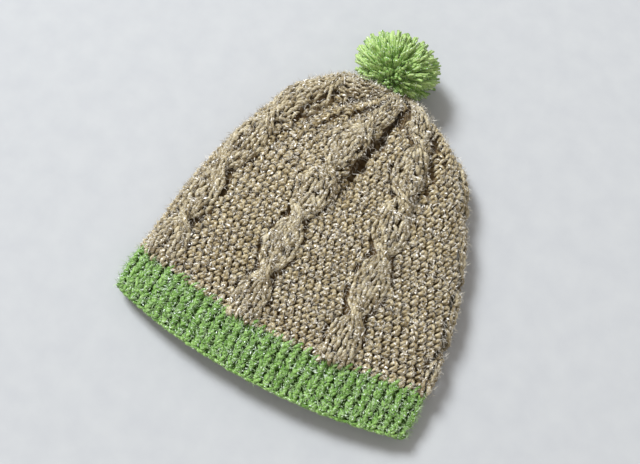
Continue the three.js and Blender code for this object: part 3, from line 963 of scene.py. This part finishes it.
def make_core(name, middle):
    """The pompom's dense middle, an uneven ball."""
    ball = bpy.data.meshes.new(name)
    shape = bmesh.new()
    bmesh.ops.create_icosphere(shape, subdivisions=4, radius=1)
    co = np.array([v.co for v in shape.verts])
    uneven = 1 + 0.06 * np.sin(co @ np.array([19, 7, 5])) * np.sin(co @ np.array([4, 17, 11]))
    co = middle + co * POMPOM_HALF * PAINTED_SHADE_MIDDLE * uneven[:, None]
    for vertex, place in zip(shape.verts, co):
        vertex.co = place
    shape.to_mesh(ball)
    shape.free()
    ball.polygons.foreach_set("use_smooth", np.full(len(ball.polygons), True))
    layer = ball.uv_layers.new(name="yarn")
    flat = np.array([ball.vertices[loop.vertex_index].co[:2] for loop in ball.loops]) / MM
    layer.data.foreach_set("uv", flat.astype(np.float32).ravel())
    return add_object(name, ball)


# Fuzz and glints

# Loose fibres of crown and brim: how many, how wide and how upright
CROWN_FIBRES = 21000
BRIM_FIBRES = 6500
FIBRE_WIDTH = 0.15 * MM
FIBRE_STAND = 0.75
# Bright slivers of sparkle thread that lie loose between the stitches, coloured white as painted glints
LOOSE_GLINTS = 2400
BRIM_GLINTS = 1600
# Fibres and loose slivers end this share of the way up the crown
LOOSE_TOP = 0.97

# Bright slivers on the crests of the stitches' strokes: painted highlights where the crests catch the light.
# Columns: across in stitch widths and up in rounds from the stitch's middle, and out in mm. The shares say
# how many crests have one.
CREST_SPOTS = ((-0.08, -0.22, 2.0), (0.2, -0.29, 1.6), (-0.2, 0.26, 1.7), (0.11, 0.19, 2.1))
CREST_SHARE = 0.7
CABLE_CREST_SHARE = 0.75
CABLE_CREST_RISE = 1.1 * MM


def make_slivers(name, starts, middles, ends, across, deep):
    """Closed slivers, three-sided in the middle and pointed at both ends. All arrays are (n, 3)."""
    corners = [starts, ends]
    for turn in (0.0, TURN / 3, 2 * TURN / 3):
        corners.append(middles + across * math.cos(turn) + deep * math.sin(turn))
    vertices = np.stack(corners, axis=1).reshape(-1, 3)
    vertices[:, 2] = np.maximum(vertices[:, 2], FLOOR_GAP)
    first = np.arange(len(starts))[:, None, None] * len(corners)
    faces = np.array([(0, 3, 2), (0, 4, 3), (0, 2, 4), (1, 2, 3), (1, 3, 4), (1, 4, 2)])
    tint = np.repeat(rng.uniform(0, 1, len(starts)), len(corners))
    return make_object(name, vertices, [(first + faces[None]).reshape(-1, 3)], None, tint, smooth=False)


def make_fuzz(name, points, normals, length, width, stand):
    """Loose fibres that lean, with one bend each."""
    n = len(points)
    wander = unit_rows(rng.normal(0, 1, (n, 3)))
    flat_wander = unit_rows(wander - normals * np.sum(wander * normals, -1, keepdims=True))
    turn = unit_rows(rng.normal(0, 1, (n, 3)))
    reach = length * rng.uniform(0.4, 1.25, (n, 1))
    first = unit_rows(normals * stand + flat_wander)
    second = unit_rows(first + turn * 0.9)
    middle = points + first * reach * 0.45
    tip = middle + second * reach * 0.55
    size = width * rng.uniform(0.7, 1.3, (n, 1))
    across = unit_rows(np.cross(tip - points, turn))
    deep = unit_rows(np.cross(across, tip - points))
    return make_slivers(name, points, middle, tip, across * size, deep * size)


def make_glints(name, points, normals, length, width):
    """Short bright slivers of flat thread lying on the yarn, coloured white as painted glints."""
    n = len(points)
    along = unit_rows(rng.normal(0, 1, (n, 3)) + normals * 0.3)
    across = unit_rows(np.cross(along, normals + rng.normal(0, 0.3, (n, 3))))
    half = along * length / 2 * rng.uniform(0.5, 1.4, (n, 1))
    size = width * rng.uniform(0.6, 1.4, (n, 1))
    deep = np.cross(across, along) * 0.6
    return make_slivers(name, points - half, points, points + half, across * size, deep * size)


def scatter(fabric, count, low, high, out):
    """Places spread over the cap's outside but not in its folds, with outward normals."""
    up = rng.uniform(low, high, count * 2)
    size = perimeter(up) / PERIMETERS.max()
    up = up[rng.uniform(0, 1, len(up)) < size][:count]
    around = rng.uniform(0, 1, len(up))
    open_place = pressed_in(around, up) < SHUT_DEPTH / 2
    up, around = up[open_place], around[open_place]
    height = out + rng.normal(0, 0.25 * MM, len(up))
    rounds = (up - BRIM_SHARE) / (1 - BRIM_SHARE) * ROUND_COUNT
    gap = cable_gap(around) * perimeter(up)
    half = CABLE_WIDTH / 2 * lens_share(rounds)
    dome = np.sqrt(np.clip(1 - (gap / half) ** 2, 0, 1))
    rise = np.where(up > BRIM_SHARE, CABLE_RISE * dome * run_out(up), 0)
    return fabric.at(around, up, height + rise)


def crest_places(stitches, cable_paths, cable_normals):
    """Places of the painted highlights, slivers on the crests of stitches and cable strokes, with outward
    normals.
    """
    point, normal, side, climb = stitches
    count = len(point)
    points, normals = [], []
    for across, rising, out in CREST_SPOTS:
        spot = (point + side * (across + rng.normal(0, 0.07, (count, 1)))
                + climb * (rising + rng.normal(0, 0.06, (count, 1))) + normal * out * MM)
        chosen = rng.uniform(0, 1, count) < CREST_SHARE
        points.append(spot[chosen])
        normals.append(normal[chosen])
    chosen = rng.uniform(0, 1, len(cable_paths)) < CABLE_CREST_SHARE
    middle = POST_POINTS // 2
    points.append((cable_paths[:, middle] + cable_normals[:, middle] * CABLE_CREST_RISE)[chosen])
    normals.append(cable_normals[:, middle][chosen])
    return points, normals


# Making the pieces

pieces = []


def add_piece(piece, material, node, slot):
    piece.data.materials.clear()
    piece.data.materials.append(material)
    pieces.append((piece, node, slot))


around, rounds, width = ground_places()
rise = np.full(around.shape, (1 - BRIM_SHARE) / ROUND_COUNT)
is_front = np.abs(gap_around(around, 0.0)) < 0.25
stitches = stitch_frames(CROWN, around, rounds_to_up(rounds), width, rise)
# Stitches deep in a fold get painted shade: their colour is darkened by how far the fold presses them in
deep = np.clip(pressed_in(around, rounds_to_up(rounds + 0.5)) / SHUT_DEPTH, 0, 1)
for name, chosen in (("crown_stitches_front", is_front), ("crown_stitches_back", ~is_front)):
    ground = make_ground(name, [part[chosen] for part in stitches], GROUND_FOLD_PAINTED_SHADE * deep[chosen])
    add_piece(ground, TAN, "crown", "tan_yarn")
cables, cable_paths, cable_normals = make_cables("crown_cables")
add_piece(cables, TAN_CABLE_PAINTED_SHADE, "crown", "tan_yarn")
add_piece(crown_backing("crown_backing"), TAN_PAINTED_SHADE_BACKING, "crown", "tan_yarn")
add_piece(make_brim_ribs("brim_ribs"), GREEN, "brim", "green_yarn")
add_piece(make_brim_edge("brim_edge"), GREEN, "brim", "green_yarn")
add_piece(brim_backing("brim_backing"), GREEN_PAINTED_SHADE_BACKING, "brim", "green_yarn")
middle = pompom_middle()
strands, strand_paths = make_strands("pompom_strands", middle)
add_piece(strands, POMPOM, "pompom", "pompom_yarn")
add_piece(make_core("pompom_core", middle), POMPOM_PAINTED_SHADE_CORE, "pompom", "pompom_yarn")

fibres = scatter(CROWN, CROWN_FIBRES, BRIM_SHARE, LOOSE_TOP, 1.0 * MM)
fuzz = make_fuzz("crown_fuzz", *fibres, 5.4 * MM, FIBRE_WIDTH, FIBRE_STAND)
add_piece(fuzz, TAN_FUZZ, "crown", "tan_yarn")
fibres = scatter(BRIM, BRIM_FIBRES, 0.0, BRIM_SHARE, 1.0 * MM)
fuzz = make_fuzz("brim_fuzz", *fibres, 5.6 * MM, FIBRE_WIDTH, FIBRE_STAND)
add_piece(fuzz, GREEN_FUZZ, "brim", "green_yarn")
# Fibres that stand off the outer half of the pompom's strands
roots = strand_paths[:, 3:6].reshape(-1, 3)
outward = np.diff(strand_paths, axis=1)[:, 3:6].reshape(-1, 3)
outward = unit_rows(outward + rng.normal(0, 0.2 * MM, roots.shape))
fuzz = make_fuzz("pompom_fuzz", roots, outward, 4.4 * MM, 0.2 * MM, 0.9)
add_piece(fuzz, POMPOM_FUZZ, "pompom", "pompom_yarn")

crest_points, crest_normals = crest_places(stitches, cable_paths, cable_normals)
loose_points, loose_normals = scatter(CROWN, LOOSE_GLINTS, BRIM_SHARE, LOOSE_TOP, 1.5 * MM)
slivers = np.concatenate([*crest_points, loose_points]), np.concatenate([*crest_normals, loose_normals])
add_piece(make_glints("crown_glints", *slivers, 2.8 * MM, 0.6 * MM), TAN_GLINT, "crown", "tan_yarn")
slivers = scatter(BRIM, BRIM_GLINTS, 0.0, BRIM_SHARE, 1.8 * MM)
add_piece(make_glints("brim_glints", *slivers, 2.4 * MM, 0.42 * MM), GREEN_GLINT, "brim", "green_yarn")

for piece, node, slot in pieces:
    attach(piece, "root")
    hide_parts(node)


# Floor, light and camera

FLOOR_HALF = 4.0
CAMERA_PLACE = (0.08866, -0.21948, 0.6014)
CAMERA_ELEVATION = math.radians(70)
CAMERA_AZIMUTH = math.radians(24.65)


def make_floor():
    mesh = bpy.data.meshes.new("floor")
    corners = [(x * FLOOR_HALF, y * FLOOR_HALF, 0) for x, y in ((-1, -1), (1, -1), (1, 1), (-1, 1))]
    mesh.from_pydata(corners, [], [(0, 1, 2, 3)])
    floor = add_object("floor", mesh)
    surface = Surface("floor_paper", 0.9)
    grain = surface.noise(surface.place(), 60.0, 4.0)
    surface.paint(surface.ramp(grain, [(0.3, (188, 191, 195)), (0.7, (193, 196, 199))]))
    mesh.materials.append(surface.material)


def add_area(name, place, size, power, colour):
    """A square light that faces the cap."""
    data = bpy.data.lights.new(name, "AREA")
    data.shape = "SQUARE"
    data.size = size
    data.energy = power
    data.color = colour
    light = add_object(name, data)
    light.location = place
    light.rotation_euler = (-Vector(place)).to_track_quat("-Z", "Y").to_euler()


def make_world():
    world = bpy.data.worlds.new("studio")
    world.use_nodes = True
    background = world.node_tree.nodes["Background"]
    background.inputs["Color"].default_value = (1.0, 0.94, 0.88, 1)
    background.inputs["Strength"].default_value = 0.44
    bpy.context.scene.world = world


def make_camera():
    data = bpy.data.cameras.new("camera")
    data.lens = 50
    data.sensor_width = 36
    data.clip_start = 0.05
    camera = add_object("camera", data)
    level = math.cos(CAMERA_ELEVATION)
    look = Vector((-math.sin(CAMERA_AZIMUTH) * level, math.cos(CAMERA_AZIMUTH) * level,
                   -math.sin(CAMERA_ELEVATION)))
    right = Vector((math.cos(CAMERA_AZIMUTH), math.sin(CAMERA_AZIMUTH), 0))
    upward = right.cross(look)
    axes = Matrix((right, upward, -look)).transposed()
    camera.matrix_world = Matrix.Translation(CAMERA_PLACE) @ axes.to_4x4()
    bpy.context.scene.camera = camera


make_floor()
add_area("key", (-2.6, 1.5, 3.25), 1.4, 238, (0.955, 0.98, 1.0))
add_area("fill", (0.9, -1.0, 1.4), 1.6, 3.0, (1.0, 0.99, 0.98))
make_world()
make_camera()
bpy.context.scene.view_settings.view_transform = "Standard"
